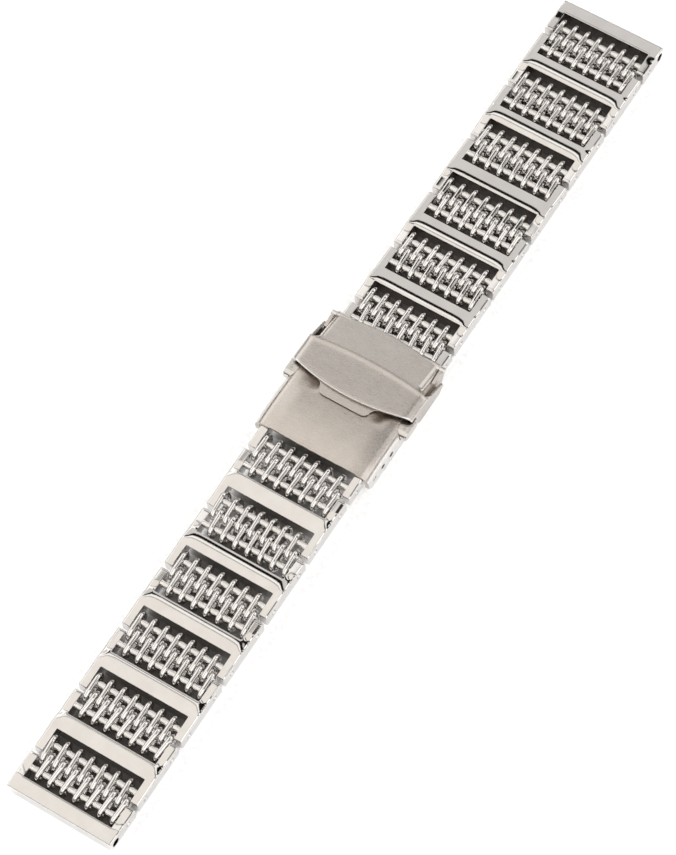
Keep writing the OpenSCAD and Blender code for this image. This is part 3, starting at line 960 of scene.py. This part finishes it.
def mixc(fac, a, b):
    n = w.node("ShaderNodeMix", data_type="RGBA")
    w.put(n.inputs[0], fac)
    for s, c in ((n.inputs[6], a), (n.inputs[7], b)):
        w.put(s, c if isinstance(c, bpy.types.NodeSocket) else (*c, 1))
    return n.outputs[2]


WHITE, CREAM, GREY, BLACK, DIM = (1.25, 1.23, 1.21), (0.91, 0.87, 0.82), (0.68, 0.663, 0.646), (0.008, 0.007, 0.006), (0.10, 0.095, 0.09)
# a ring of white screens, open at the top over the band, with the dark room below them
sky = mixc(panel(-2.3, 3.4, -1.9, 1.9, 0.6, 0.3), DIM, WHITE)
sky = mixc(panel(-0.52, 0.12, -1.7, 1.7, 0.2, 0.02), sky, BLACK)
sky = mixc(panel(-0.84, 0.045, 0.545, 1.5, 0.2), sky, GREY)
sky = mixc(panel(-0.84, 0.02, -1.5, 0.472, 0.2), sky, (1.02, 1.0, 0.97))
sky = mixc(panel(-0.84, 0.02, -1.5, 0.41, 0.12), sky, (0.3, 0.29, 0.28))
sky = mixc(panel(-0.84, 0.02, -1.5, 0.39, 0.12), sky, CREAM)
sky = mixc(panel(-0.45, 2.0, 0.474, 0.535, 0.02, 0.006, ROW), sky, BLACK)
sky = mixc(panel(-0.2, 1.6, 0.378, 0.405, 0.01, 0.006, ROW), sky, BLACK)
sky = mixc(panel(0.12, 1.6, 0.552, 0.61, 0.02, 0.01, ROW), sky, (0.2, 0.2, 0.2))
sky = mixc(panel(0.12, 1.3, 0.25, 0.36, 0.02, 0.01, ROW), sky, (0.25, 0.245, 0.24))
sky = mixc(w.remap(dz, 0.0, 0.04, 0.0, 1.0), (0.75, 0.75, 0.74), sky)
bg = w.node("ShaderNodeBackground")
w.put(bg.inputs["Color"], sky)
bg.inputs["Strength"].default_value = 1.0
flat = w.node("ShaderNodeBackground")
w.put(flat.inputs["Color"], mixc(w.remap(dz, 0.1, 0.5, 1.0, 0.0), (0.13, 0.118, 0.11), (1.0, 1.0, 1.0)))
flat.inputs["Strength"].default_value = 1.0
white = w.node("ShaderNodeBackground")
white.inputs["Color"].default_value = (1, 1, 1, 1)
path = w.node("ShaderNodeLightPath")
m1 = w.node("ShaderNodeMixShader")
w.put(m1.inputs[0], w.math("GREATER_THAN", path.outputs["Diffuse Depth"], 0.5))
w.put(m1.inputs[1], bg.outputs[0])
w.put(m1.inputs[2], flat.outputs[0])
m2 = w.node("ShaderNodeMixShader")
w.put(m2.inputs[0], path.outputs["Is Camera Ray"])
w.put(m2.inputs[1], m1.outputs[0])
w.put(m2.inputs[2], white.outputs[0])
wo = w.node("ShaderNodeOutputWorld")
w.put(wo.inputs["Surface"], m2.outputs[0])


def area(name, at, size, power, glossy=False):
    l = bpy.data.lights.new(name, "AREA")
    l.shape = "SQUARE"
    l.size = size
    l.energy = power
    o = bpy.data.objects.new(name, l)
    scene.collection.objects.link(o)
    o.location = at
    o.rotation_euler = (Vector((0, 0, 0)) - Vector(at)).to_track_quat("-Z", "Y").to_euler()
    o.visible_camera = False
    o.visible_glossy = glossy
    return o


for i in range(8):
    az = math.radians(22.5 + 45 * i)
    area(f"soft_{i}", (1.3 * math.cos(az), 1.3 * math.sin(az), 0.36), 0.5, 15.5)

world.cycles.sampling_method = "NONE"
